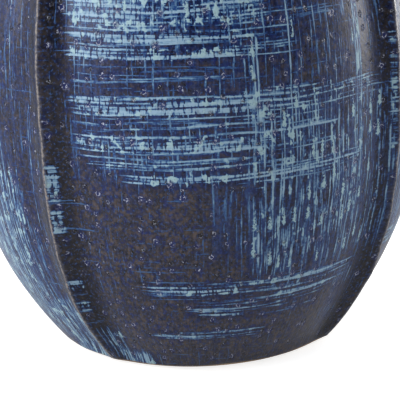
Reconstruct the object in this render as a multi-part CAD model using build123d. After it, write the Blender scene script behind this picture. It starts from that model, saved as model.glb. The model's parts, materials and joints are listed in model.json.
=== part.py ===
from build123d import *

import math
import os

# A hand-brushed stoneware flower vase: an egg-shaped body of four convex panels that meet in
# raised, pinched ridges, closed by a short round neck with a flared lip. The fired body carries
# a reactive glaze outside, a liner glaze inside, and four felt pads under its bare foot ring.
# Units are millimetres. +Z is up, the pads stand on Z = 0, and a panel faces -Y.
# A level is a height above the foot ring, and an inset is a depth below the glazed surface.

# Driving dimensions
HEIGHT = 381.0  # from the surface that the pads stand on to the top of the lip
BODY_RADIUS = 127.0  # middle of a panel at the widest level
WIDEST_LEVEL = 136.5
FOOT_RADIUS = 82.0  # middle of a panel at the foot
NECK_RADIUS = 43.0  # outside of the neck at its narrowest
NECK_LEVEL = 332.0  # where the body ends and the round neck begins
WALL = 5.4  # fired wall of the body, glaze left out
FLOOR = 9.0  # fired floor of the body, glaze left out
GLAZE = 0.8  # thickness of either glaze coat

# Profile of the wall, as powers of the height between the widest level and the foot or neck
LOWER_POWER = 2.5
UPPER_POWER = 2.6
SHOULDER_POWER = 1.3

# Panels and ridges
PANELS = 4
PANEL_DROP = 0.067  # how much nearer the axis a panel's edge lies than its middle, as a share
RIDGE_HEIGHT = 10.0
RIDGE_SHARE = 0.2  # width of a ridge's flank, as a share of half a panel
RIDGE_POWER = 2.5  # the flanks are concave
FOOT_RIDGE_SHARE = 0.68  # how much of the ridge's height is left just above the foot
FOOT_FADE = 45.0  # height over which the ridge grows to its full size
FOOT_TUCK = 14.0  # height over which ridges and panels grow out of the nearly round foot
FOOT_STUB = 0.15  # how much of them is left at the very foot
NECK_FADE = 95.0  # height over which the ridges and panels melt into the round neck
CAVITY_RELIEF = 0.5  # the inside follows the ridges more softly than the outside

# Neck, cavity and foot
FLARE_RADIUS = 44.0  # the neck opens along this arc
FLARE_ANGLE = 40.0  # how far from upright the wall leans at the lip
CAVITY_ROUND = 22.0  # radius between the cavity's floor and its wall
BARE_FOOT = 1.0  # bare clay between the foot and the glaze, wiped before firing
RECESS_RADIUS = 52.0  # hollow under the floor, inside the foot ring
RECESS_DEPTH = 2.5

# Felt pads under the foot ring
PAD_RADIUS = 8.0
PAD_THICKNESS = 1.6
PAD_CIRCLE = 65.0  # radius of the circle of pads
PAD_NAMES = ("back_right", "back_left", "front_left", "front_right")

# Sections of the lofted surfaces
POINTS_PER_PANEL = 14
LEVELS_AT_FOOT = 3
LEVELS_BELOW = 6
LEVELS_ABOVE = 8
LEVELS_INSIDE = 4
FLOOR_TURNS = (0.0, 30.0, 60.0)  # degrees around the rounded corner of the cavity's floor

WHOLE_WALL = WALL + 2.0 * GLAZE
LIP_ROUND = WHOLE_WALL / 2.0
CLEAR_OF_LIP = 1.0  # how far the solid that cuts the cavity runs out above the lip
UPWARDS = (Align.CENTER, Align.CENTER, Align.MIN)

# Centres of the lip's and the flare's arcs, as X and Z
LEAN = math.radians(FLARE_ANGLE)
LIP_X = NECK_RADIUS + FLARE_RADIUS - (FLARE_RADIUS + LIP_ROUND) * math.cos(LEAN)
LIP_Z = HEIGHT - LIP_ROUND
FLARE_X = NECK_RADIUS + FLARE_RADIUS
FLARE_Z = LIP_Z - (FLARE_RADIUS + LIP_ROUND) * math.sin(LEAN)


def wall_radius(level):
    """Outside radius in the middle of a panel."""
    if level <= WIDEST_LEVEL:
        below = (WIDEST_LEVEL - level) / WIDEST_LEVEL
        return BODY_RADIUS - (BODY_RADIUS - FOOT_RADIUS) * below**LOWER_POWER
    above = min((level - WIDEST_LEVEL) / (NECK_LEVEL - WIDEST_LEVEL), 1.0)
    closing = (1.0 - above**UPPER_POWER) ** SHOULDER_POWER
    return NECK_RADIUS + (BODY_RADIUS - NECK_RADIUS) * closing


def smooth_step(share):
    """0 to 1 with level ends."""
    share = min(max(share, 0.0), 1.0)
    return share * share * (3.0 - 2.0 * share)


def outline_radius(level, across, relief):
    """Outside radius at a place across a panel, from -1 at one ridge to +1 at the next."""
    middle = wall_radius(level)
    tuck = FOOT_STUB + (1.0 - FOOT_STUB) * (1.0 - max(1.0 - level / FOOT_TUCK, 0.0) ** 2)
    strength = relief * tuck * smooth_step((NECK_LEVEL - level) / NECK_FADE)
    panel = middle * (1.0 - PANEL_DROP * strength * across**2)
    flank = max(1.0 - (1.0 - abs(across)) / RIDGE_SHARE, 0.0) ** RIDGE_POWER
    growth = FOOT_RIDGE_SHARE + (1.0 - FOOT_RIDGE_SHARE) * smooth_step(level / FOOT_FADE)
    return panel + RIDGE_HEIGHT * strength * growth * flank


def outline(level, inset, relief):
    """One level section, of one curve per panel: true arcs where the round neck begins."""
    # the places crowd towards the ridges, where the section turns sharply
    places = [math.sin(math.pi * (step / POINTS_PER_PANEL - 0.5)) for step in range(POINTS_PER_PANEL + 1)]
    edges = []
    for panel in range(PANELS):
        points = []
        for across in places:
            angle = math.pi / PANELS * (2.0 * panel + across + 2.0)
            radius = outline_radius(level, across, relief) - inset
            points.append((radius * math.cos(angle), radius * math.sin(angle), level + PAD_THICKNESS))
        if level < NECK_LEVEL:
            # the same parameters in every section keep the lofted surface light
            edges.append(Edge.make_spline(points, parameters=places))
        else:
            edges.append(ThreePointArc(points[0], points[POINTS_PER_PANEL // 2], points[-1]))
    return Wire(edges)


def spaced(low, high, count):
    """count levels after low, up to and with high."""
    return [low + (high - low) * (step + 1) / count for step in range(count)]


def profile_arc(x, z, radius, start, turn):
    """An arc of a profile drawn on X and Z, its angles in degrees from +X towards +Z."""
    points = []
    for share in (0.0, 0.5, 1.0):
        angle = math.radians(start + turn * share)
        points.append((x + radius * math.cos(angle), 0, z + radius * math.sin(angle)))
    return ThreePointArc(*points)


def neck(inset, lip_arc, run_out):
    """The round neck, filled to the axis: straight, out along the flare, and round half of the lip."""
    foot_z = NECK_LEVEL + PAD_THICKNESS
    flare_arc = profile_arc(FLARE_X, FLARE_Z, FLARE_RADIUS + inset, 180.0, -FLARE_ANGLE)
    foot = (NECK_RADIUS - inset, 0, foot_z)
    rim = lip_arc @ 1
    top_z = rim.Z + run_out
    corners = [(rim.X, 0, top_z), (0, 0, top_z), (0, 0, foot_z), foot]
    if run_out:
        corners.insert(0, rim)
    lines = [Line(foot, flare_arc @ 0), flare_arc, lip_arc]
    lines += [Line(start, end) for start, end in zip(corners, corners[1:])]
    return Solid.revolve(Face(Wire(lines)), 360.0, Axis.Z)


def outside(inset):
    """The whole vase as one closed solid with no cavity, its surface moved inwards by inset."""
    levels = [0.0] + spaced(0.0, FOOT_TUCK, LEVELS_AT_FOOT)
    levels += spaced(FOOT_TUCK, WIDEST_LEVEL, LEVELS_BELOW)
    levels += spaced(WIDEST_LEVEL, NECK_LEVEL, LEVELS_ABOVE)
    body = Solid.make_loft([outline(level, inset, 1.0) for level in levels])
    lip_arc = profile_arc(LIP_X, LIP_Z, LIP_ROUND - inset, -FLARE_ANGLE, 90.0 + FLARE_ANGLE)
    return body + neck(inset, lip_arc, 0.0)


def cavity(inset):
    """The hollow of the vase as one closed solid that runs out above the lip."""
    floor = FLOOR + inset - WALL - GLAZE
    sections = []
    for turn in FLOOR_TURNS:
        rise = CAVITY_ROUND * (1.0 - math.cos(math.radians(turn)))
        reach = CAVITY_ROUND * (1.0 - math.sin(math.radians(turn)))
        sections.append((floor + rise, inset + reach))
    round_top = floor + CAVITY_ROUND
    upper = [round_top] + spaced(round_top, WIDEST_LEVEL, LEVELS_INSIDE)
    upper += spaced(WIDEST_LEVEL, NECK_LEVEL, LEVELS_ABOVE)
    sections += [(level, inset) for level in upper]
    hollow = Solid.make_loft([outline(level, depth, CAVITY_RELIEF) for level, depth in sections])
    lip_arc = profile_arc(LIP_X, LIP_Z, inset - LIP_ROUND, 180.0 - FLARE_ANGLE, FLARE_ANGLE - 90.0)
    return hollow + neck(inset, lip_arc, CLEAR_OF_LIP)


def disc(radius, thickness, z):
    """An upright cylinder on the axis, from z upwards."""
    return Pos(0, 0, z) * Cylinder(radius, thickness, align=UPWARDS)


def felt_pad(index):
    """One pad below the foot ring, under a ridge."""
    angle = (index + 0.5) * 360.0 / PANELS
    return Rot(0, 0, angle) * Pos(PAD_CIRCLE, 0, 0) * Cylinder(PAD_RADIUS, PAD_THICKNESS, align=UPWARDS)


glaze_surface = outside(0.0)
clay_surface = outside(GLAZE)
clay_cavity = cavity(GLAZE + WALL)
glazed_cavity = cavity(WHOLE_WALL)
bare_foot = disc(BODY_RADIUS, BARE_FOOT, PAD_THICKNESS)
recess = disc(RECESS_RADIUS, RECESS_DEPTH, PAD_THICKNESS)
above_lip = disc(BODY_RADIUS, 2.0 * CLEAR_OF_LIP, HEIGHT)

nodes = {
    "stoneware_body": clay_surface - clay_cavity - recess,
    "outer_glaze": glaze_surface - clay_surface - clay_cavity - bare_foot,
    "liner_glaze": clay_cavity - glazed_cavity - above_lip,
}
for index, name in enumerate(PAD_NAMES):
    nodes["felt_pad_" + name] = felt_pad(index)

os.makedirs("parts", exist_ok=True)
for name, shape in nodes.items():
    export_step(shape, "parts/" + name + ".step")
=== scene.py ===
"""A hand-brushed stoneware flower vase on a pale floor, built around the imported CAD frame. Units are metres.

Each ceramic piece is a closed mesh swept around the axis from rings. A ring is an array of radii, one for
each column of the mesh, with its height. A level is a height above the foot ring, and across is a place on a
panel, from -1 at one ridge to +1 at the next.
"""

import json
import math

import bpy
import numpy as np
from mathutils import Matrix, Vector


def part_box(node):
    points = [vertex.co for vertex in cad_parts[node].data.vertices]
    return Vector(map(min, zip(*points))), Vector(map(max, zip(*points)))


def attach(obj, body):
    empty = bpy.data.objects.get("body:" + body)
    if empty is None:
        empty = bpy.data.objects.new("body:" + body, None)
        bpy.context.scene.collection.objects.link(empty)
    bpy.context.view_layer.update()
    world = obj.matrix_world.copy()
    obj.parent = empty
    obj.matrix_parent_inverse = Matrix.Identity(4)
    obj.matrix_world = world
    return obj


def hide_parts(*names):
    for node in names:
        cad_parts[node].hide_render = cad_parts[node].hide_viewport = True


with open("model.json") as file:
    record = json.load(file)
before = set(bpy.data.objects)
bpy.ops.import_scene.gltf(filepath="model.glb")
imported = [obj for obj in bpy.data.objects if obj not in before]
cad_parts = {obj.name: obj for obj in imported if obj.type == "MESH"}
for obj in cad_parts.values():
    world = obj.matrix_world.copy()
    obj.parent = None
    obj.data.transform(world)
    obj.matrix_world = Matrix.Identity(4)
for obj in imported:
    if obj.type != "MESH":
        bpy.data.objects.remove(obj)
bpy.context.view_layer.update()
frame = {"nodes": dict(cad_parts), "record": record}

# --- sizes: the CAD's own, read from the frame where the frame shows them ---
MM = 0.001
glaze_low, glaze_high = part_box("outer_glaze")
pad_low, pad_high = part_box("felt_pad_front_right")
mounts = {mount["name"]: mount for mount in frame["record"]["mounts"]}

TOP = glaze_high.z
PAD = pad_high.z
BARE_FOOT = glaze_low.z - PAD
BODY_RADIUS = glaze_high.x
WIDEST_LEVEL = 136.5 * MM
FOOT_RADIUS = 82.0 * MM
NECK_RADIUS = 43.0 * MM
NECK_LEVEL = 332.0 * MM
GLAZE = 0.8 * MM
WHOLE_WALL = NECK_RADIUS - mounts["mouth"]["dims"]["r_mm"] * MM
FLOOR = 9.0 * MM
LOWER_POWER, UPPER_POWER, SHOULDER_POWER = 2.5, 2.6, 1.3

PANELS = 4
PANEL_DROP = 0.067
RIDGE_HEIGHT = 10.0 * MM
RIDGE_SHARE = 0.2
RIDGE_POWER = 2.5
CREST_ROUND = 0.9 * MM
FOOT_RIDGE_SHARE = 0.68
FOOT_FADE = 45.0 * MM
FOOT_TUCK = 14.0 * MM
FOOT_STUB = 0.15
NECK_FADE = 95.0 * MM
CAVITY_RELIEF = 0.5

FLARE_RADIUS = 44.0 * MM
FLARE_ANGLE = math.radians(40.0)
LIP_ROUND = WHOLE_WALL / 2.0
CAVITY_ROUND = 22.0 * MM
RECESS_RADIUS = 52.0 * MM
RECESS_DEPTH = 2.5 * MM
LIP_X = NECK_RADIUS + FLARE_RADIUS - (FLARE_RADIUS + LIP_ROUND) * math.cos(FLARE_ANGLE)
LIP_Z = TOP - LIP_ROUND
FLARE_X = NECK_RADIUS + FLARE_RADIUS
FLARE_Z = LIP_Z - (FLARE_RADIUS + LIP_ROUND) * math.sin(FLARE_ANGLE)

QUARTER_TURN = math.pi / 2.0
INNER_LIP = math.pi - FLARE_ANGLE  # where the flare meets the lip on the inside, as an angle around the lip


# --- shape ---
def smooth_step(share):
    """0 to 1 with level ends."""
    share = np.clip(share, 0.0, 1.0)
    return share * share * (3.0 - 2.0 * share)


def wall_radius(level):
    """Outside radius in the middle of a panel."""
    below = np.clip((WIDEST_LEVEL - level) / WIDEST_LEVEL, 0.0, 1.0)
    above = np.clip((level - WIDEST_LEVEL) / (NECK_LEVEL - WIDEST_LEVEL), 0.0, 1.0)
    if level <= WIDEST_LEVEL:
        return BODY_RADIUS - (BODY_RADIUS - FOOT_RADIUS) * below**LOWER_POWER
    return NECK_RADIUS + (BODY_RADIUS - NECK_RADIUS) * (1.0 - above**UPPER_POWER) ** SHOULDER_POWER


def crest_distance(level, across):
    """Distance along the surface from the nearest ridge's crest."""
    return (1.0 - np.abs(across)) * wall_radius(level) * math.pi / PANELS


def outline_radius(level, across, relief):
    """Outside radius at places across a panel. The crest is rounded, as a glaze rounds it."""
    middle = wall_radius(level)
    tuck = FOOT_STUB + (1.0 - FOOT_STUB) * (1.0 - max(1.0 - level / FOOT_TUCK, 0.0) ** 2)
    strength = relief * tuck * smooth_step((NECK_LEVEL - level) / NECK_FADE)
    panel = middle * (1.0 - PANEL_DROP * strength * across**2)
    away = np.sqrt(crest_distance(level, across) ** 2 + CREST_ROUND**2) - CREST_ROUND
    flank_width = RIDGE_SHARE * middle * math.pi / PANELS
    flank = np.clip(1.0 - away / flank_width, 0.0, 1.0) ** RIDGE_POWER
    growth = FOOT_RIDGE_SHARE + (1.0 - FOOT_RIDGE_SHARE) * smooth_step(level / FOOT_FADE)
    return panel + RIDGE_HEIGHT * strength * growth * flank


class Columns:
    """The places around the axis where every ring of a mesh has its points, crowded at the ridges."""

    def __init__(self, per_panel, crowding):
        steps = np.arange(per_panel) / per_panel
        even = 2.0 * steps - 1.0
        crowded = np.sin(np.pi * (steps - 0.5))
        across = even + (crowded - even) * crowding
        self.across = np.tile(across, PANELS)
        self.panel = np.repeat(np.arange(PANELS), per_panel)
        self.angle = np.pi / PANELS * (2.0 * self.panel + self.across)
        self.count = len(self.angle)


def patches(size_along, size_up, seed):
    """A smooth random field over the surface, from -1 to 1, as a function of angle and height."""
    around = max(3, round(2.0 * math.pi * BODY_RADIUS / size_along))
    up = max(3, round(TOP / size_up) + 2)
    lattice = np.random.default_rng(seed).uniform(-1.0, 1.0, (around, up))

    def field(angle, z):
        u = (angle / (2.0 * math.pi) % 1.0) * around
        v = np.clip(z / TOP, 0.0, 1.0) * (up - 1.001)
        i, j = np.floor(u).astype(int), np.floor(v).astype(int)
        s, t = smooth_step(u - i), smooth_step(v - j)
        i, k = i % around, (i + 1) % around
        low = lattice[i, j] * (1.0 - s) + lattice[k, j] * s
        high = lattice[i, j + 1] * (1.0 - s) + lattice[k, j + 1] * s
        return low * (1.0 - t) + high * t

    return field


# Hand building leaves the wall a little uneven, and the pinched crests more so
wall_swell = patches(62 * MM, 48 * MM, 11)
wall_dents = patches(19 * MM, 23 * MM, 12)
crest_wave = patches(400 * MM, 9 * MM, 13)
SWELL_DEPTH, DENT_DEPTH, WAVE_DEPTH = 0.45 * MM, 0.16 * MM, 0.5 * MM
CREST_REACH = 3.5 * MM


def unevenness(columns, level):
    """How far the outside stands out from the even shape."""
    z = np.full(columns.count, level + PAD)
    body = SWELL_DEPTH * wall_swell(columns.angle, z) + DENT_DEPTH * wall_dents(columns.angle, z)
    near_crest = np.exp(-((crest_distance(level, columns.across) / CREST_REACH) ** 2))
    crest = WAVE_DEPTH * crest_wave(columns.angle, z)
    fade = smooth_step((NECK_LEVEL - level) / NECK_FADE)
    return fade * (body + near_crest * crest)


def body_ring(columns, level, inset, relief, uneven=0.0):
    """A ring of the panelled body."""
    radii = outline_radius(level, columns.across, relief) - inset
    if uneven:
        radii = radii + uneven * unevenness(columns, level)
    return radii, level + PAD


def corner_rings(columns, level, inset, corner, relief, rows, uneven=0.0):
    """Rings of the panelled body round a corner, from flat at level up to where the wall begins."""
    return [
        body_ring(
            columns,
            level + corner * (1.0 - math.cos(turn)),
            inset + corner * (1.0 - math.sin(turn)),
            relief,
            uneven,
        )
        for turn in np.linspace(0.0, QUARTER_TURN, rows)[:-1]
    ]


def round_ring(columns, radius, z):
    """A ring of the round neck, lip, floor or recess."""
    return np.full(columns.count, radius), z


def arc_rings(columns, centre, radius, start, end, rows):
    """Round rings along an arc of the profile, between two angles above the outward direction."""
    return [
        round_ring(columns, centre[0] + radius * math.cos(turn), centre[1] + radius * math.sin(turn))
        for turn in np.linspace(start, end, rows)
    ]


def neck_rings(columns, inset):
    """Rings up the neck at a depth below its outside: straight, then out along the flare."""
    heights = np.linspace(NECK_LEVEL + PAD, FLARE_Z, NECK_ROWS)
    rings = [round_ring(columns, NECK_RADIUS - inset, z) for z in heights]
    flare_end = math.pi - FLARE_ANGLE
    rings += arc_rings(columns, (FLARE_X, FLARE_Z), FLARE_RADIUS + inset, math.pi, flare_end, FLARE_ROWS)[1:]
    return rings


def lip_rings(columns, radius, start, end, rows):
    """Rings around the lip's round edge, between two angles above the outward direction."""
    return arc_rings(columns, (LIP_X, LIP_Z), radius, start, end, rows)[1:]


def swept(name, columns, rings, closed, centre=(0.0, 0.0)):
    """A closed mesh through the rings. An open row of rings starts and ends in a cap on the axis."""
    radii = np.array([ring[0] for ring in rings])
    heights = np.array([np.broadcast_to(ring[1], columns.count) for ring in rings])
    x = centre[0] + radii * np.cos(columns.angle)
    y = centre[1] + radii * np.sin(columns.angle)
    points = np.stack([x, y, heights], axis=-1).reshape(-1, 3)
    index = np.arange(len(points)).reshape(len(rings), columns.count)
    if closed:
        index = np.vstack([index, index[:1]])
    after = np.roll(index, -1, axis=1)
    quads = np.stack([index[:-1], after[:-1], after[1:], index[1:]], axis=-1).reshape(-1, 4)
    faces = quads.tolist()
    points = points.tolist()
    if not closed:
        points += [(*centre, float(np.mean(rings[0][1]))), (*centre, float(np.mean(rings[-1][1])))]
        low, high = len(points) - 2, len(points) - 1
        faces += [(low, b, a) for a, b in zip(index[0].tolist(), after[0].tolist())]
        faces += [(a, b, high) for a, b in zip(index[-1].tolist(), after[-1].tolist())]
    mesh = bpy.data.meshes.new(name)
    mesh.from_pydata(points, [], faces)
    mesh.validate()
    mesh.shade_smooth()
    piece = bpy.data.objects.new(name, mesh)
    bpy.context.scene.collection.objects.link(piece)
    return piece


# --- brushwork: where the maker's brush left pale glaze on each panel ---
LONG_FADE, SHORT_FADE = 16.0 * MM, 3.0 * MM
WIDE_FADE = 0.12
FADES_ACROSS = 2.5  # a patch is at least this many times as wide as its fade
DENSE, BARE, DENSITY_POWER = 1.42, 1.20, 0.6  # a density of 1 is mostly covered, and 0 is bare


class Patch:
    """One brushed patch: levels and places across a panel, with how densely it is covered."""

    def __init__(self, low, high, start, end, density):
        self.low, self.high = low * MM, high * MM
        self.start, self.end = start, end
        self.density = density

    def cover(self, level, across, longest_fade):
        """Density at places on the panel, fading at the patch's edges."""
        up = min(longest_fade, (self.high - self.low) / FADES_ACROSS)
        side = min(WIDE_FADE, (self.end - self.start) / FADES_ACROSS)
        above, below = (level - self.low) / up, (self.high - level) / up
        right, left = (across - self.start) / side, (self.end - across) / side
        rising = smooth_step(above + 0.5) * smooth_step(below + 0.5)
        sides = smooth_step(right + 0.5) * smooth_step(left + 0.5)
        return self.density * rising * sides


# Strokes drawn around the vase: levels in millimetres above the foot, then across
FRONT_ROWS = [
    Patch(187, 204, -0.85, -0.40, 1.02),
    Patch(187, 204, -0.45, 0.16, 0.80),
    Patch(187, 200, 0.10, 0.50, 0.14),
    Patch(179, 185, -0.84, -0.20, 1.05),
    Patch(179, 185, -0.30, 0.08, 0.75),
    Patch(171, 178, -0.85, -0.52, 1.05),
    Patch(171, 178, -0.60, 0.04, 0.85),
    Patch(170, 186, 0.00, 0.28, 0.42),
    Patch(156, 170, -0.85, -0.40, 0.30),
    Patch(156, 170, -0.50, 0.12, 0.17),
    Patch(145, 154, -0.84, 0.10, 1.02),
    Patch(142, 157, 0.00, 0.40, 0.72),
    Patch(143, 157, 0.34, 0.88, 0.50),
    Patch(136, 143, -0.82, 0.45, 0.42),
    Patch(127, 135, -0.84, 0.20, 0.80),
    Patch(126, 137, 0.10, 0.50, 0.62),
    Patch(117, 125, -0.80, 0.25, 0.45),
    Patch(111, 116, -0.55, 0.30, 0.98),
    Patch(111, 118, 0.20, 0.70, 0.62),
    Patch(50, 59, -0.50, 0.40, 0.50),
    Patch(52, 57, -0.34, 0.02, 0.98),
    Patch(44, 58, 0.20, 0.80, 0.50),
    Patch(36, 48, -0.25, 0.55, 0.40),
    Patch(22, 28, -0.55, 0.20, 0.46),
    Patch(212, 226, -0.90, 0.30, 1.00),
    Patch(232, 240, -0.85, 0.55, 0.72),
    Patch(250, 266, -0.80, 0.20, 0.92),
    Patch(276, 286, -0.70, 0.60, 0.60),
    Patch(300, 332, -1.00, 1.00, 0.45),
    # dashes where the brush crossed the ridges' flanks
    Patch(101, 119, -0.995, -0.945, 1.25),
    Patch(84, 96, -0.995, -0.945, 1.20),
    Patch(49, 57, -0.99, -0.93, 1.00),
    Patch(37, 43, -0.99, -0.93, 1.00),
    Patch(112, 176, 0.955, 0.99, 0.50),
]

# Strokes drawn up and down
FRONT_FALLS = [
    Patch(60, 150, 0.04, 0.98, 0.33),
    Patch(140, 206, 0.04, 0.98, 0.11),
    Patch(158, 180, 0.055, 0.125, 0.45),
    Patch(106, 160, 0.055, 0.125, 0.78),
    Patch(68, 112, 0.055, 0.125, 0.58),
    Patch(66, 150, 0.12, 0.48, 0.46),
    Patch(74, 140, 0.45, 0.74, 0.46),
    Patch(84, 190, 0.68, 0.75, 0.50),
    Patch(112, 205, 0.25, 0.31, 0.34),
    Patch(110, 200, -0.88, 0.05, 0.13),
    Patch(186, 205, -0.90, 0.15, 0.30),
    Patch(72, 112, -0.14, 0.06, 0.22),
    Patch(-4, 9, -0.88, -0.60, 0.85),
    Patch(4, 24, -0.95, -0.80, 0.42),
    Patch(14, 62, 0.66, 0.90, 0.17),
    Patch(205, 330, -0.75, 0.95, 0.32),
    Patch(210, 300, 0.10, 0.60, 0.50),
]

LEFT_ROWS = [
    Patch(248, 258, -0.80, 0.60, 0.50),
    Patch(300, 332, -1.00, 1.00, 0.45),
]

LEFT_FALLS = [
    Patch(4, 330, -0.96, 0.90, 0.15),
    Patch(95, 215, 0.40, 0.62, 0.50),
    Patch(8, 110, 0.10, 0.72, 0.55),
    Patch(-6, 40, 0.58, 0.975, 0.60),
    Patch(60, 250, -0.70, -0.10, 0.40),
]


def turned(patches_on_panel, lift):
    """The same brushwork in mirror image and moved up by lift, for a panel that faces away."""
    return [
        Patch(patch.low / MM + lift, patch.high / MM + lift, -patch.end, -patch.start, patch.density)
        for patch in patches_on_panel
    ]


# Panels count from the one that faces +X, against the clock seen from above
FRONT_PANEL, LEFT_PANEL, RIGHT_PANEL, BACK_PANEL = 3, 2, 0, 1
BRUSHWORK = {
    FRONT_PANEL: (FRONT_ROWS, FRONT_FALLS),
    LEFT_PANEL: (LEFT_ROWS, LEFT_FALLS),
    RIGHT_PANEL: (turned(FRONT_ROWS, 6.0), turned(FRONT_FALLS, 4.0)),
    BACK_PANEL: (turned(LEFT_ROWS, -12.0) + turned(FRONT_ROWS, -9.0), turned(FRONT_FALLS, -8.0)),
}


def densest(patches_on_panel, level, across, longest_fade):
    """The densest patch's cover at each place."""
    cover = np.zeros_like(level)
    for patch in patches_on_panel:
        cover = np.maximum(cover, patch.cover(level, across, longest_fade))
    return cover


def set_places(piece, columns):
    """Corner vectors for the materials: distance around the axis at the body's width, then level."""
    mesh = piece.data
    co = np.empty(len(mesh.vertices) * 3)
    mesh.vertices.foreach_get("co", co)
    levels = co.reshape(-1, 3)[:, 2] - PAD
    vertex = np.empty(len(mesh.loops), dtype=np.int64)
    mesh.loops.foreach_get("vertex_index", vertex)
    column = vertex % columns.count
    face = np.repeat(np.arange(len(mesh.polygons)), [polygon.loop_total for polygon in mesh.polygons])
    widest = np.zeros(len(mesh.polygons), dtype=np.int64)
    np.maximum.at(widest, face, column)
    seam = (widest[face] - column) > columns.count // 2
    along = (columns.angle[column] + 2.0 * math.pi * seam) * BODY_RADIUS
    vectors = np.stack([along, levels[vertex], np.zeros(len(vertex))], axis=-1)
    attribute = mesh.attributes.new("place", "FLOAT_VECTOR", "CORNER")
    attribute.data.foreach_set("vector", vectors.reshape(-1).astype(np.float32))
    return levels


def set_values(piece, name, values):
    """One number for each point, for the materials to read."""
    attribute = piece.data.attributes.new(name, "FLOAT", "POINT")
    attribute.data.foreach_set("value", values.astype(np.float32))


def brush(piece, columns, levels):
    """Stores on the outer glaze where it is brushed, where it breaks pale, and where it is dark beside the
    crests: partly glaze that pools there and partly painted shade.
    """
    column = np.arange(len(levels)) % columns.count
    across, panel = columns.across[column], columns.panel[column]
    rows, falls = np.zeros_like(levels), np.zeros_like(levels)
    for index, (row_patches, fall_patches) in BRUSHWORK.items():
        here = panel == index
        rows[here] = densest(row_patches, levels[here], across[here], SHORT_FADE)
        falls[here] = densest(fall_patches, levels[here], across[here], LONG_FADE)
    away = np.array([crest_distance(level, place) for level, place in zip(levels, across)])
    ridge = smooth_step((NECK_LEVEL - levels) / NECK_FADE)
    lip = smooth_step((levels + PAD - LIP_Z) / LIP_ROUND)
    set_values(piece, "rows", DENSE * rows**DENSITY_POWER - BARE)
    set_values(piece, "falls", DENSE * falls**DENSITY_POWER - BARE)
    set_values(piece, "breaks", np.maximum(ridge * np.exp(-((away / CREST_PALE) ** 2)), lip))
    # painted shade beside each crest, together with the glaze that pools there
    set_values(piece, "pools_and_shade", ridge * np.exp(-(((away - POOL_SHADE_MIDDLE) / POOL_SHADE_WIDTH) ** 2)))


# --- materials ---
def srgb(red, green, blue):
    """A colour by its usual 0 to 255 values, in the linear numbers that shaders take."""
    shares = [value / 255.0 for value in (red, green, blue)]
    linear = [s / 12.92 if s <= 0.04045 else ((s + 0.055) / 1.055) ** 2.4 for s in shares]
    return (*linear, 1.0)


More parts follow.
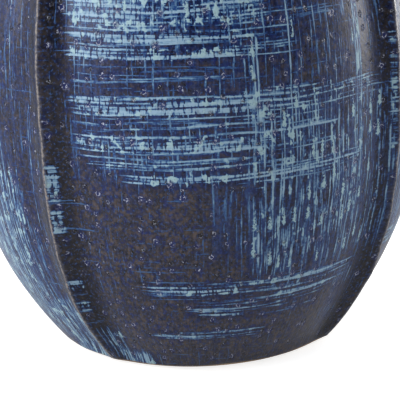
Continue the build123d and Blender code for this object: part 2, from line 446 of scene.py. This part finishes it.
class Graph:
    """A material written as a formula: each method adds a node and returns its output."""

    def __init__(self, name, uniform):
        self.material = bpy.data.materials.new(name)
        self.material.use_nodes = True
        self.nodes = self.material.node_tree.nodes
        self.links = self.material.node_tree.links
        self.shader = self.nodes["Principled BSDF"]
        for socket, value in uniform.items():
            self.shader.inputs[socket].default_value = value

    def add(self, kind, values, **settings):
        """A node with its inputs fed by position or name, from numbers or other outputs."""
        node = self.nodes.new(kind)
        for setting, value in settings.items():
            setattr(node, setting, value)
        for key, value in values.items():
            if isinstance(value, bpy.types.NodeSocket):
                self.links.new(value, node.inputs[key])
            else:
                node.inputs[key].default_value = value
        return node

    def math(self, operation, *values):
        return self.add("ShaderNodeMath", dict(enumerate(values)), operation=operation).outputs[0]

    def total(self, *terms):
        """The sum of pairs of a weight and a value, or of plain numbers."""
        result = 0.0
        for term in terms:
            if isinstance(term, tuple):
                result = self.math("MULTIPLY_ADD", term[1], term[0], result)
            else:
                result = self.math("ADD", result, term)
        return result

    def value(self, name):
        return self.add("ShaderNodeAttribute", {}, attribute_name=name).outputs["Fac"]

    def step(self, value, low, high):
        """0 below low, 1 above high, smooth between."""
        values = {"Value": value, "From Min": low, "From Max": high}
        return self.add("ShaderNodeMapRange", values, interpolation_type="SMOOTHSTEP").outputs["Result"]

    def blend(self, share, first, second):
        """first where share is 0, second where it is 1."""
        values = {0: share, 6: first, 7: second}
        return self.add("ShaderNodeMix", values, data_type="RGBA").outputs[2]

    def darken(self, share, colour):
        """The colour times share."""
        values = {0: 1.0, 6: colour, 7: share}
        return self.add("ShaderNodeMix", values, data_type="RGBA", blend_type="MULTIPLY").outputs[2]

    def ramp(self, value, stops):
        """A colour for each value from 0 to 1."""
        node = self.add("ShaderNodeValToRGB", {"Fac": value})
        elements = node.color_ramp.elements
        elements[0].position, elements[0].color = stops[0]
        elements[1].position, elements[1].color = stops[-1]
        for position, colour in stops[1:-1]:
            elements.new(position).color = colour
        return node.outputs["Color"]

    def noise(self, vector, sizes, seed, detail=2.0):
        """Noise from about 0.2 to 0.8 around 0.5, its patches of the given sizes."""
        scale = (1.0 / sizes[0], 1.0 / sizes[1], 1.0)
        values = {0: vector, 1: scale, 2: (seed * 17.3, seed * 9.1, 0.0)}
        placed = self.add("ShaderNodeVectorMath", values, operation="MULTIPLY_ADD").outputs[0]
        values = {"Vector": placed, "Scale": 1.0, "Detail": detail, "Roughness": 0.55}
        return self.add("ShaderNodeTexNoise", values, noise_dimensions="2D").outputs["Fac"]

    def cells(self, vector, size, seed):
        """Cells: distance from each cell's point, as a share of size, and two random numbers for the cell."""
        values = {0: vector, 1: (1.0 / size,) * 3, 2: (seed * 13.7, seed * 7.9, 0.0)}
        placed = self.add("ShaderNodeVectorMath", values, operation="MULTIPLY_ADD").outputs[0]
        node = self.add("ShaderNodeTexVoronoi", {"Vector": placed, "Scale": 1.0}, voronoi_dimensions="2D")
        lots = self.add("ShaderNodeSeparateColor", {0: node.outputs["Color"]}).outputs
        return node.outputs["Distance"], lots[0], lots[1]

    def drops(self, vector, cell, width, tail, seed):
        """Drops that ran down, one to a cell: 1 in its middle to 0 at its edge, and its random number."""
        values = {0: vector, 1: (1.0 / cell[0], 1.0 / cell[1], 1.0), 2: (seed * 13.7, seed * 7.9, 0.0)}
        placed = self.add("ShaderNodeVectorMath", values, operation="MULTIPLY_ADD").outputs[0]
        values = {"Vector": placed, "Scale": 1.0, "Randomness": 0.75}
        node = self.add("ShaderNodeTexVoronoi", values, voronoi_dimensions="2D")
        values = {0: placed, 1: node.outputs["Position"]}
        away = self.add("ShaderNodeVectorMath", values, operation="SUBTRACT").outputs[0]
        side, rise, _ = self.add("ShaderNodeSeparateXYZ", {0: away}).outputs
        above = self.math("MULTIPLY", self.math("MAXIMUM", rise, 0.0), cell[1] / tail)
        below = self.math("MULTIPLY", self.math("MINIMUM", rise, 0.0), cell[1] / (1.4 * width))
        taper = self.math("MULTIPLY_ADD", above, 1.6, 1.0)
        side = self.math("MULTIPLY", self.math("MULTIPLY", side, taper), cell[0] / width)
        reach = self.add("ShaderNodeCombineXYZ", {0: side, 1: above, 2: below}).outputs[0]
        reach = self.add("ShaderNodeVectorMath", {0: reach}, operation="LENGTH").outputs["Value"]
        lot = self.add("ShaderNodeSeparateColor", {0: node.outputs["Color"]}).outputs[0]
        return self.math("MAXIMUM", self.math("SUBTRACT", 1.0, reach), 0.0), lot

    def shifted(self, vector, along, up):
        """The vector moved by two values."""
        shift = self.add("ShaderNodeCombineXYZ", {0: along, 1: up}).outputs[0]
        return self.add("ShaderNodeVectorMath", {0: vector, 1: shift}, operation="ADD").outputs[0]

    def swing(self, value, reach):
        """A noise turned into a distance of up to about reach either way."""
        return self.math("MULTIPLY_ADD", value, 2.0 * reach, -reach)

    def place(self):
        """The vector from set_places, and the level in it."""
        vector = self.add("ShaderNodeAttribute", {}, attribute_name="place").outputs["Vector"]
        return vector, self.add("ShaderNodeSeparateXYZ", {0: vector}).outputs["Y"]

    def finish(self, colour, roughness, height, depth):
        """Feeds the shader. height is in units of depth."""
        self.links.new(colour, self.shader.inputs["Base Color"])
        self.links.new(roughness, self.shader.inputs["Roughness"])
        bump = self.add("ShaderNodeBump", {"Height": height, "Strength": 1.0, "Distance": depth})
        self.links.new(bump.outputs["Normal"], self.shader.inputs["Normal"])
        return self.material


# Glaze colours
CHARCOAL = srgb(44, 42, 54)
SLATE = srgb(32, 41, 76)
DEEP = srgb(8, 19, 58)
NAVY = srgb(16, 22, 56)
RUST = srgb(78, 66, 56)
HALO = srgb(22, 58, 116)
MID_BLUE = srgb(68, 104, 144)
PALE_TEAL = srgb(112, 146, 174)
PALEST = srgb(140, 168, 191)
SAGE = srgb(150, 180, 190)
# painted glint: a pale colour for the crater rims in place of their small specular highlights
PAINTED_GLINT = srgb(190, 196, 216)
BLUE_PIT = srgb(18, 32, 88)
VEIL = srgb(46, 82, 146)
BROKEN = srgb(82, 84, 98)
CREST = srgb(138, 130, 124)
TAN = srgb(150, 128, 106)
INK = srgb(8, 8, 18)

CREST_PALE = 1.0 * MM  # how far the pale breaks reach from a crest
POOL_SHADE_MIDDLE, POOL_SHADE_WIDTH = 7.0 * MM, 6.5 * MM  # dark beside the crests: glaze that pools there, darkened further as painted shade of the ridges' flanks
DROP_CELL, DROP_WIDTH, DROP_TAIL = (7.5 * MM, 18 * MM), 1.7 * MM, 12 * MM
CRATER_SPACING = 7.5 * MM
CLAY_SHOWS, GLAZE_COVERS = 1.4 * MM, 2.2 * MM  # the glaze is thin and tan up to the level between these
GLAZE_RELIEF, LINER_RELIEF = 0.35 * MM, 0.4 * MM  # depths of the bumps


class BrushedGlaze(Graph):
    """The outer glaze: dark and mottled, with dry-brushed pale strokes around and down the body."""

    def __init__(self):
        super().__init__("brushed_glaze", {"IOR": 1.36})
        self.vector, self.level = self.place()
        self.rows, self.falls = self.value("rows"), self.value("falls")
        self.breaks, self.pools_and_shade = self.value("breaks"), self.value("pools_and_shade")
        self.brushed = self.math("MAXIMUM", self.rows, self.falls)

        # strokes wander a little from level and upright
        lift = self.swing(self.noise(self.vector, (90 * MM, 40 * MM), 1), 2.0 * MM)
        drift = self.swing(self.noise(self.vector, (26 * MM, 60 * MM), 2), 1.5 * MM)
        self.at = self.shifted(self.vector, drift, lift)

        # noises that several parts of the glaze share
        self.fall_hairs = self.noise(self.at, (1.25 * MM, 60 * MM), 5, 1.0)
        self.grain = self.noise(self.at, (1.3 * MM, 1.3 * MM), 7)
        self.clouds = self.noise(self.vector, (48 * MM, 60 * MM), 8, 3.0)
        self.mottle = self.noise(self.vector, (6.5 * MM, 5.5 * MM), 9, 4.0)
        self.fine = self.noise(self.vector, (1.6 * MM, 2.2 * MM), 10, 3.0)
        self.nicks = self.noise(self.at, (1.3 * MM, 5.0 * MM), 11, 1.0)

    def strokes(self):
        """Cover of the strokes. A brush's hairs leave long thin lines, and the dry glaze breaks them up."""
        row_hairs = self.noise(self.at, (75 * MM, 1.5 * MM), 3, 1.0)
        row_skips = self.noise(self.at, (9.0 * MM, 1.2 * MM), 4)
        fall_skips = self.noise(self.at, (1.4 * MM, 9.0 * MM), 6)
        cuts = self.math("MAXIMUM", self.math("SUBTRACT", 0.50, self.nicks), 0.0)
        cuts = self.math("MULTIPLY", cuts, self.step(self.rows, -0.55, 0.10))
        row_cover = self.total(
            (1.0, self.rows), (3.2, row_hairs), (1.2, row_skips), (-4.5, cuts), (0.6, self.grain), -2.41
        )
        fall_cover = self.total(
            (1.0, self.falls), (2.6, self.fall_hairs), (1.9, fall_skips), (0.7, self.grain), -2.46
        )
        return self.math("MAXIMUM", row_cover, fall_cover)

    def gathered(self):
        """Where the pale glaze is thick: blobs that it gathered in, and drops that ran down."""
        blobs = self.step(self.noise(self.vector, (5.2 * MM, 6.2 * MM), 12), 0.57, 0.68)
        blobs = self.math("MULTIPLY", blobs, self.step(self.brushed, -0.62, -0.12))
        ragged = self.shifted(self.at, self.swing(self.grain, 1.6 * MM), self.swing(self.fine, 2.0 * MM))
        drop, lot = self.drops(ragged, DROP_CELL, DROP_WIDTH, DROP_TAIL, 4)
        chosen = self.math("MULTIPLY", self.step(self.falls, -0.68, -0.48), self.step(lot, 0.50, 0.54))
        return blobs, self.math("MULTIPLY", drop, chosen)

    def dark_glaze(self, near):
        """The glaze under the strokes: brown-black where it is bare, stained blue near the strokes, and darker
        beside the crests, partly pooled glaze and partly painted shade.
        """
        spots = self.noise(self.vector, (3.2 * MM, 2.8 * MM), 13, 3.0)
        veils = self.noise(self.at, (4.5 * MM, 50 * MM), 14)
        blueness = self.total(
            (0.5, self.falls), (0.35, self.rows), (2.0, self.clouds), (1.2, veils), (0.8, self.mottle), -1.22
        )
        base = self.blend(self.step(blueness, -0.25, 0.40), CHARCOAL, SLATE)
        flecks = self.step(self.total((0.6, self.nicks), (0.6, self.mottle)), 0.46, 0.66)
        stained = self.math("MULTIPLY", near, flecks)
        base = self.blend(self.total((0.20, stained), (0.72, near)), base, DEEP)
        veiled = self.math("MULTIPLY", self.step(veils, 0.40, 0.66), self.step(self.falls, -1.00, -0.55))
        base = self.blend(self.math("MULTIPLY", veiled, 0.42), base, VEIL)
        rusty = self.step(self.total((-1.0, spots), (0.5, self.mottle), (0.5, self.clouds), 0.5), 0.50, 0.66)
        base = self.blend(self.math("MULTIPLY", rusty, self.total((-0.32, near), 0.65)), base, RUST)
        base = self.blend(self.math("MULTIPLY", self.step(spots, 0.57, 0.66), 0.75), base, BLUE_PIT)
        shade = self.total((2.0, self.fine), (0.8, self.fall_hairs), (0.8, self.mottle), -0.86)
        # darker beside the crests: partly glaze pooled in the valleys, partly painted shade of the ridges'
        # flanks
        return self.darken(self.total((-0.65, self.pools_and_shade), 1.0), self.darken(shade, base))

    def craters(self):
        """Craters of burst gas bubbles, mostly where the glaze is dark: their rims, which carry a painted
        glint as well as relief, their holes and sizes.
        """
        pitted = self.shifted(self.vector, self.swing(self.grain, 1.3 * MM), self.swing(self.fine, 1.5 * MM))
        distance, lot, size = self.cells(pitted, CRATER_SPACING, 1)
        distance = self.math("DIVIDE", distance, self.total((0.9, size), 0.45))
        chosen = self.math("MULTIPLY", self.step(lot, 0.42, 0.46), self.step(self.clouds, 0.32, 0.48))
        within = self.math("SUBTRACT", 1.0, self.step(distance, 0.13, 0.17))
        glint_rim = self.math("MULTIPLY", self.step(distance, 0.07, 0.11), within)
        glint_rim = self.math("MULTIPLY", self.math("MULTIPLY", glint_rim, chosen), self.step(self.grain, 0.46, 0.60))
        hole = self.math("SUBTRACT", 1.0, self.step(distance, 0.08, 0.30))
        return glint_rim, self.math("MULTIPLY", hole, chosen), size

    def worn(self, colour):
        """The colour, broken pale where the glaze is thin on crests and lip, and clay tan at the foot."""
        wear = self.total((0.9, self.breaks), (1.0, self.fine), (0.8, self.grain), -0.90)
        colour = self.blend(self.math("MULTIPLY", self.step(wear, 0.05, 0.60), 0.6), colour, BROKEN)
        colour = self.blend(self.math("MULTIPLY", self.step(wear, 0.55, 0.95), 0.9), colour, CREST)
        edge = self.step(self.total((1.0, self.level), (0.8 * MM, self.fine)), CLAY_SHOWS, GLAZE_COVERS)
        return self.blend(edge, TAN, colour)

    def build(self):
        """Dark glaze, strokes over it, craters through both, and the worn places last."""
        blobs, drop = self.gathered()
        cover = self.total((1.0, self.strokes()), (0.55, blobs))
        cover = self.math("MAXIMUM", cover, self.total((1.2, drop), (0.8, self.grain), -0.75))
        thick = self.math("MAXIMUM", blobs, self.step(drop, 0.25, 0.55))
        nearness = self.total((1.0, self.brushed), (1.4, self.clouds), (1.2, self.mottle), -1.30)
        near = self.step(nearness, -1.05, -0.50)
        stroke = self.ramp(
            self.math("MULTIPLY_ADD", cover, self.total((0.65, near), 0.35), 0.35),
            [(0.0, NAVY), (0.24, HALO), (0.44, MID_BLUE), (0.66, PALE_TEAL), (1.0, PALEST)],
        )
        stroke = self.blend(self.math("MULTIPLY", thick, self.step(cover, 0.05, 0.30)), stroke, SAGE)
        colour = self.blend(self.step(cover, -0.32, -0.12), self.dark_glaze(near), stroke)

        glint_rim, hole, size = self.craters()
        pit = self.blend(self.step(size, 0.3, 0.6), INK, BLUE_PIT)
        colour = self.blend(self.math("MULTIPLY", hole, 0.85), colour, pit)
        # painted glint: pale colour on the crater rims stands in for small specular highlights
        colour = self.blend(self.math("MULTIPLY", glint_rim, 0.8), colour, PAINTED_GLINT)

        roughness = self.total(
            (0.10, self.step(cover, -0.1, 0.3)), (0.12, self.fine), (0.08, self.mottle),
            (0.15, self.breaks), 0.20,
        )
        height = self.total(
            (0.22, self.step(cover, -0.20, 0.40)), (0.30, thick), (0.25, self.fine),
            (0.4, self.mottle), (0.5, glint_rim), (-1.2, hole), (0.2, self.fall_hairs),
        )
        return self.finish(self.worn(colour), roughness, height, GLAZE_RELIEF)


def liner_glaze():
    """The plain dark glaze poured inside, with faint runs."""
    g = Graph("poured_glaze", {"IOR": 1.5})
    vector, _ = g.place()
    clouds = g.noise(vector, (30 * MM, 60 * MM), 21, 3.0)
    runs = g.noise(vector, (5 * MM, 80 * MM), 22)
    fine = g.noise(vector, (2 * MM, 2 * MM), 23, 3.0)
    colour = g.blend(g.step(clouds, 0.35, 0.65), CHARCOAL, NAVY)
    colour = g.darken(g.total((0.8, fine), (0.6, runs), 0.3), colour)
    thin = g.step(g.total((1.0, g.value("breaks")), (0.5, fine), -0.25), 0.3, 0.9)
    colour = g.blend(thin, colour, BROKEN)
    roughness = g.total((0.12, fine), (0.10, clouds), 0.10)
    height = g.total((0.6, clouds), (0.5, runs), (0.2, fine))
    return g.finish(colour, roughness, height, LINER_RELIEF)


CLAY_LIGHT = srgb(178, 152, 124)
CLAY_DARK = srgb(128, 102, 80)
IRON = srgb(62, 42, 32)
IRON_SPACING = 4.0 * MM
TURNING_PITCH = 2.4 * MM
CLAY_RELIEF = 0.25 * MM


def bare_stoneware():
    """The unglazed clay of the foot: sandy, with iron specks and faint turning lines."""
    g = Graph("bare_stoneware", {"IOR": 1.45})
    vector = g.add("ShaderNodeTexCoord", {}).outputs["Object"]
    sand = g.noise(vector, (0.9 * MM, 0.9 * MM), 31, 4.0)
    toast = g.noise(vector, (28 * MM, 28 * MM), 32, 3.0)
    distance, lot, _ = g.cells(vector, IRON_SPACING, 3)
    specks = g.math("MULTIPLY", g.math("SUBTRACT", 1.0, g.step(distance, 0.05, 0.14)), g.step(lot, 0.5, 0.55))
    length = g.add("ShaderNodeVectorMath", {0: vector}, operation="LENGTH").outputs["Value"]
    turning = g.math("SINE", g.math("MULTIPLY", length, 2.0 * math.pi / TURNING_PITCH))
    colour = g.blend(g.step(toast, 0.35, 0.65), CLAY_LIGHT, CLAY_DARK)
    colour = g.darken(g.total((0.7, sand), (0.03, turning), 0.62), colour)
    colour = g.blend(specks, colour, IRON)
    roughness = g.total((0.2, sand), 0.68)
    height = g.total((1.0, sand), (0.12, turning), (-0.5, specks))
    return g.finish(colour, roughness, height, CLAY_RELIEF)


FELT_DARK = srgb(46, 44, 43)
FELT_LIGHT = srgb(92, 88, 84)
FIBRE_TWIST = 3 * MM
FELT_RELIEF = 0.2 * MM


def felt():
    """Pressed grey felt: short fibres that lie every way."""
    g = Graph("felt", {"Sheen Weight": 0.35, "Sheen Roughness": 0.5, "Specular IOR Level": 0.2})
    vector = g.add("ShaderNodeTexCoord", {}).outputs["Object"]
    twist = g.add("ShaderNodeTexNoise", {"Vector": vector, "Scale": 300.0, "Detail": 2.0}).outputs["Color"]
    values = {0: twist, 1: (FIBRE_TWIST,) * 3, 2: vector}
    bent = g.add("ShaderNodeVectorMath", values, operation="MULTIPLY_ADD").outputs[0]
    fibres = g.noise(bent, (0.9 * MM, 0.16 * MM), 41, 3.0)
    tufts = g.noise(vector, (1.8 * MM, 1.8 * MM), 42, 3.0)
    colour = g.blend(g.step(g.total((0.7, fibres), (0.4, tufts)), 0.38, 0.72), FELT_DARK, FELT_LIGHT)
    roughness = g.total((0.1, fibres), 0.88)
    height = g.total((0.8, fibres), (0.6, tufts))
    return g.finish(colour, roughness, height, FELT_RELIEF)


# --- pieces ---
# How many rings each stretch of a mesh has
GLAZE_ROWS, INNER_ROWS, BODY_ROWS, CAVITY_ROWS, LINER_ROWS = 158, 36, 60, 24, 60
NECK_ROWS, FLARE_ROWS, LIP_ROWS, ROUND_ROWS, EDGE_ROWS, PAD_ROWS = 5, 10, 8, 7, 6, 4

HIDDEN_GAP = 0.03 * MM  # keeps the hidden faces of touching pieces from coinciding
FOOT_EDGE = 0.7 * MM  # how round the clay's edges are at the foot ring
FOOT_CROWDING = 1.4  # hidden rings lie closer together where the ridges grow out of the foot
GLAZE_WAVE, WAVE_REACH = 0.35 * MM, 3.0 * MM  # how far the glaze line wanders, and how high that shows
FLOOR_SHARES = (0.1, 0.3, 0.5, 0.7, 0.85, 0.95)  # rings on the cavity's floor, as shares of its radius
RECESS_SHARES = (0.1, 0.4, 0.7, 0.9)
FOOT_SHARES = (0.25, 0.5, 0.75, 0.9)

PAD_SOFT, PAD_RAGGED = 0.45 * MM, 0.06 * MM  # how round and how uneven the felt's edge is
PAD_SHARES = (0.25, 0.6, 0.85)

glaze_line = patches(22 * MM, 400 * MM, 15)


def wall_levels(low, high, count, crowding=1.0):
    """Levels from low to high, both included: even, or crowded at the foot by a power above 1."""
    return (low + (high - low) * np.linspace(0.0, 1.0, count) ** crowding).tolist()


def settle(piece, node, material):
    """Puts a piece in its CAD node's place."""
    piece.data.materials.append(material)
    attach(piece, "root")
    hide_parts(node)


def make_outer_glaze():
    """The outer coat as a closed shell: up the outside, over the lip, and back down on the clay."""
    columns = Columns(per_panel=100, crowding=0.6)
    wave = GLAZE_WAVE * glaze_line(columns.angle, np.zeros(columns.count))
    edge = corner_rings(columns, BARE_FOOT, 0.0, GLAZE, 1.0, ROUND_ROWS, uneven=1.0)
    rings = [(radii, z + wave) for radii, z in edge]
    for level in wall_levels(BARE_FOOT + GLAZE, NECK_LEVEL, GLAZE_ROWS)[:-1]:
        radii, z = body_ring(columns, level, 0.0, 1.0, 1.0)
        rings.append((radii, z + wave * math.exp(-(level - BARE_FOOT) / WAVE_REACH)))
    rings += neck_rings(columns, 0.0)
    rings += lip_rings(columns, LIP_ROUND, -FLARE_ANGLE, QUARTER_TURN, LIP_ROWS)
    inner_levels = wall_levels(BARE_FOOT, NECK_LEVEL, INNER_ROWS, FOOT_CROWDING)[:-1]
    inner = [body_ring(columns, level, GLAZE, 1.0) for level in inner_levels]
    inner[0] = (inner[0][0], inner[0][1] + wave)
    inner += neck_rings(columns, GLAZE)
    inner += lip_rings(columns, LIP_ROUND - GLAZE, -FLARE_ANGLE, QUARTER_TURN, LIP_ROWS)
    piece = swept("outer_glaze_coat", columns, rings + inner[::-1], True)
    brush(piece, columns, set_places(piece, columns))
    settle(piece, "outer_glaze", BrushedGlaze().build())


def cavity_rings(columns, inset, rows):
    """Rings from the middle of the cavity's floor, round its corner, and up the wall to the neck."""
    floor = FLOOR + inset - (WHOLE_WALL - GLAZE)
    corner = corner_rings(columns, floor, inset, CAVITY_ROUND, CAVITY_RELIEF, ROUND_ROWS)
    flat = [(corner[0][0] * share, corner[0][1]) for share in FLOOR_SHARES]
    levels = wall_levels(floor + CAVITY_ROUND, NECK_LEVEL, rows)[:-1]
    return flat + corner + [body_ring(columns, level, inset, CAVITY_RELIEF) for level in levels]


def make_liner():
    """The inner coat as a closed shell: up against the clay, over the lip's inner edge, and down inside."""
    columns = Columns(per_panel=48, crowding=0.4)
    clay_inset = WHOLE_WALL - GLAZE
    rings = cavity_rings(columns, clay_inset, CAVITY_ROWS)
    rings += neck_rings(columns, clay_inset)
    rings += lip_rings(columns, LIP_ROUND - GLAZE, INNER_LIP, QUARTER_TURN, LIP_ROWS)
    visible = cavity_rings(columns, WHOLE_WALL, LINER_ROWS)
    visible += neck_rings(columns, WHOLE_WALL)
    visible += lip_rings(columns, LIP_ROUND, INNER_LIP, QUARTER_TURN, LIP_ROWS)
    piece = swept("liner_glaze_coat", columns, rings + visible[::-1], False)
    levels = set_places(piece, columns)
    set_values(piece, "breaks", smooth_step((levels + PAD - LIP_Z) / LIP_ROUND))
    settle(piece, "liner_glaze", liner_glaze())


def make_body():
    """The fired clay between the coats, with its foot ring and the shallow recess below the floor."""
    columns = Columns(per_panel=60, crowding=0.5)
    inset = GLAZE + HIDDEN_GAP
    recess_top = PAD + RECESS_DEPTH
    ring_start = RECESS_RADIUS + FOOT_EDGE
    ring_end = outline_radius(0.0, columns.across, 1.0) - inset - FOOT_EDGE
    ceiling_corner = (RECESS_RADIUS - FOOT_EDGE, recess_top - FOOT_EDGE)
    foot_corner = (ring_start, PAD + FOOT_EDGE)
    rings = [round_ring(columns, RECESS_RADIUS * share, recess_top) for share in RECESS_SHARES]
    rings += arc_rings(columns, ceiling_corner, FOOT_EDGE, QUARTER_TURN, 0.0, EDGE_ROWS - 1)
    rings += arc_rings(columns, foot_corner, FOOT_EDGE, math.pi, 3.0 * QUARTER_TURN, EDGE_ROWS - 1)
    rings += [(ring_start + (ring_end - ring_start) * share, PAD) for share in FOOT_SHARES]
    rings += corner_rings(columns, 0.0, inset, FOOT_EDGE, 1.0, EDGE_ROWS)
    levels = wall_levels(FOOT_EDGE, NECK_LEVEL, BODY_ROWS, FOOT_CROWDING)[:-1]
    rings += [body_ring(columns, level, inset, 1.0) for level in levels]
    rings += neck_rings(columns, inset)
    rings += lip_rings(columns, LIP_ROUND - inset, -FLARE_ANGLE, INNER_LIP, 2 * LIP_ROWS)
    inside = cavity_rings(columns, WHOLE_WALL - inset, CAVITY_ROWS)
    inside += neck_rings(columns, WHOLE_WALL - inset)
    piece = swept("fired_clay_body", columns, rings + inside[::-1], False)
    settle(piece, "stoneware_body", bare_stoneware())


def make_felt_pad(node, material):
    """A felt disc with soft, slightly ragged edges, squashed where it stands."""
    low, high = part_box(node)
    centre = ((low.x + high.x) / 2.0, (low.y + high.y) / 2.0)
    radius = (high.x - low.x) / 2.0
    columns = Columns(per_panel=20, crowding=0.0)
    ragged = np.random.default_rng(len(node)).uniform(-PAD_RAGGED, PAD_RAGGED, (3, columns.count))
    edge = radius - PAD_SOFT
    lower = arc_rings(columns, (edge, low.z + PAD_SOFT), PAD_SOFT, -QUARTER_TURN, 0.0, PAD_ROWS)
    upper = arc_rings(columns, (edge, high.z - PAD_SOFT), PAD_SOFT, 0.0, QUARTER_TURN, PAD_ROWS)
    rings = [round_ring(columns, radius * share, low.z) for share in PAD_SHARES]
    rings += [(radii + ragged[0], z) for radii, z in lower]
    rings.append((radius + ragged[1], (low.z + high.z) / 2.0))
    rings += [(radii + ragged[2], z) for radii, z in upper]
    rings += [round_ring(columns, radius * share, high.z) for share in PAD_SHARES[::-1]]
    settle(swept(node + "_disc", columns, rings, False, centre), node, material)


make_outer_glaze()
make_liner()
make_body()
felt_material = felt()
for node in sorted(frame["nodes"]):
    if node.startswith("felt_pad"):
        make_felt_pad(node, felt_material)


# --- camera: as far from the vase as a long lens needs, a little above it, turned slightly ---
SENSOR = 36.0
LENS = 120.5
CAMERA_DISTANCE = 6.04 * BODY_RADIUS
CAMERA_TURN = math.radians(9.65)
CAMERA_RISE = math.radians(15.84)
CAMERA_ROLL = math.radians(-2.465)
AIM_LEVEL = 0.54 * BODY_RADIUS
AIM_RIGHT = 0.013 * BODY_RADIUS


def make_camera():
    """The camera stands in front of the panel that faces -Y, a little to its left."""
    to_right = Vector((math.cos(CAMERA_TURN), -math.sin(CAMERA_TURN), 0.0))
    back = Vector((
        -math.sin(CAMERA_TURN) * math.cos(CAMERA_RISE),
        -math.cos(CAMERA_TURN) * math.cos(CAMERA_RISE),
        math.sin(CAMERA_RISE),
    ))
    aim = Vector((0.0, 0.0, PAD + AIM_LEVEL)) + to_right * AIM_RIGHT
    camera = bpy.data.objects.new("camera", bpy.data.cameras.new("camera"))
    camera.data.sensor_width = SENSOR
    camera.data.lens = LENS
    camera.data.clip_start, camera.data.clip_end = 0.01, 50.0
    upright = (-back).to_track_quat("-Z", "Y").to_matrix().to_4x4()
    rolled = upright @ Matrix.Rotation(CAMERA_ROLL, 4, "Z")
    camera.matrix_world = Matrix.Translation(aim + back * CAMERA_DISTANCE) @ rolled
    bpy.context.scene.collection.objects.link(camera)
    bpy.context.scene.camera = camera


# --- light and floor ---
LIGHT_AIM = Vector((0.0, 0.0, 0.15))
SOFTBOXES = {  # name: location, size, power in watts
    "left_softbox": ((-1.5, -0.4, 0.9), (1.2, 1.2), 25.0),
    "right_softbox": ((1.5, 0.45, 0.35), (1.0, 0.9), 14.0),
    "rim_softbox": ((1.1, 1.3, 0.25), (0.5, 0.9), 14.0),
    "top_softbox": ((0.0, -0.6, 1.9), (1.2, 1.2), 2.5),
}
FRONT_GLOW, BACK_GLOW = 0.12, 0.98  # light from the world's front and back
FRONT_END, BACK_START = -0.85, -0.15  # where they end, as the Y of a direction


def make_softbox(name, location, size, power):
    """A rectangular area light that faces the vase."""
    light = bpy.data.lights.new(name, "AREA")
    light.shape = "RECTANGLE"
    light.size, light.size_y = size
    light.energy = power
    box = bpy.data.objects.new(name, light)
    box.location = location
    box.rotation_mode = "QUATERNION"
    box.rotation_quaternion = (LIGHT_AIM - Vector(location)).to_track_quat("-Z", "Y")
    bpy.context.scene.collection.objects.link(box)


def make_world():
    """White all round for the camera. The light from it is dimmer in front, where the camera stands."""
    world = bpy.data.worlds.new("studio")
    world.use_nodes = True
    nodes, links = world.node_tree.nodes, world.node_tree.links
    nodes.clear()
    direction = nodes.new("ShaderNodeTexCoord")
    split = nodes.new("ShaderNodeSeparateXYZ")
    links.new(direction.outputs["Generated"], split.inputs[0])
    front = nodes.new("ShaderNodeMapRange")
    front.interpolation_type = "SMOOTHSTEP"
    front.inputs["From Min"].default_value = FRONT_END
    front.inputs["From Max"].default_value = BACK_START
    front.inputs["To Min"].default_value = FRONT_GLOW
    front.inputs["To Max"].default_value = BACK_GLOW
    links.new(split.outputs["Y"], front.inputs["Value"])
    lighting = nodes.new("ShaderNodeBackground")
    links.new(front.outputs["Result"], lighting.inputs["Strength"])
    shown = nodes.new("ShaderNodeBackground")
    shown.inputs["Strength"].default_value = 1.0
    for background in (lighting, shown):
        background.inputs["Color"].default_value = (1.0, 1.0, 1.0, 1.0)
    path = nodes.new("ShaderNodeLightPath")
    mix = nodes.new("ShaderNodeMixShader")
    links.new(path.outputs["Is Camera Ray"], mix.inputs["Fac"])
    links.new(lighting.outputs[0], mix.inputs[1])
    links.new(shown.outputs[0], mix.inputs[2])
    output = nodes.new("ShaderNodeOutputWorld")
    links.new(mix.outputs[0], output.inputs["Surface"])
    bpy.context.scene.world = world


FLOOR_HALF = 12.0
SHOWN_GLOW, CAST_GLOW = 0.80, 0.20  # how the floor glows for the camera, and for everything else


def make_floor():
    """A pale floor that glows for the camera, so that it stays white with only a faint shadow."""
    mesh = bpy.data.meshes.new("floor")
    corners = [(x * FLOOR_HALF, y * FLOOR_HALF, 0.0) for x, y in ((-1, -1), (1, -1), (1, 1), (-1, 1))]
    mesh.from_pydata(corners, [], [(0, 1, 2, 3)])
    floor = bpy.data.objects.new("floor", mesh)
    bpy.context.scene.collection.objects.link(floor)
    material = bpy.data.materials.new("floor")
    material.use_nodes = True
    nodes, links = material.node_tree.nodes, material.node_tree.links
    shader = nodes["Principled BSDF"]
    shader.inputs["Base Color"].default_value = (0.5, 0.5, 0.5, 1.0)
    shader.inputs["Roughness"].default_value = 0.9
    shader.inputs["Emission Color"].default_value = (1.0, 1.0, 1.0, 1.0)
    glow = nodes.new("ShaderNodeMapRange")
    glow.inputs["To Min"].default_value = CAST_GLOW
    glow.inputs["To Max"].default_value = SHOWN_GLOW
    links.new(nodes.new("ShaderNodeLightPath").outputs["Is Camera Ray"], glow.inputs["Value"])
    links.new(glow.outputs["Result"], shader.inputs["Emission Strength"])
    # clear from below, for a look at the underside
    seen = nodes.new("ShaderNodeMixShader")
    links.new(nodes.new("ShaderNodeNewGeometry").outputs["Backfacing"], seen.inputs["Fac"])
    links.new(shader.outputs["BSDF"], seen.inputs[1])
    links.new(nodes.new("ShaderNodeBsdfTransparent").outputs["BSDF"], seen.inputs[2])
    links.new(seen.outputs["Shader"], nodes["Material Output"].inputs["Surface"])
    mesh.materials.append(material)


make_camera()
make_world()
make_floor()
for name, (location, size, power) in SOFTBOXES.items():
    make_softbox(name, location, size, power)
bpy.context.scene.view_settings.view_transform = "Standard"
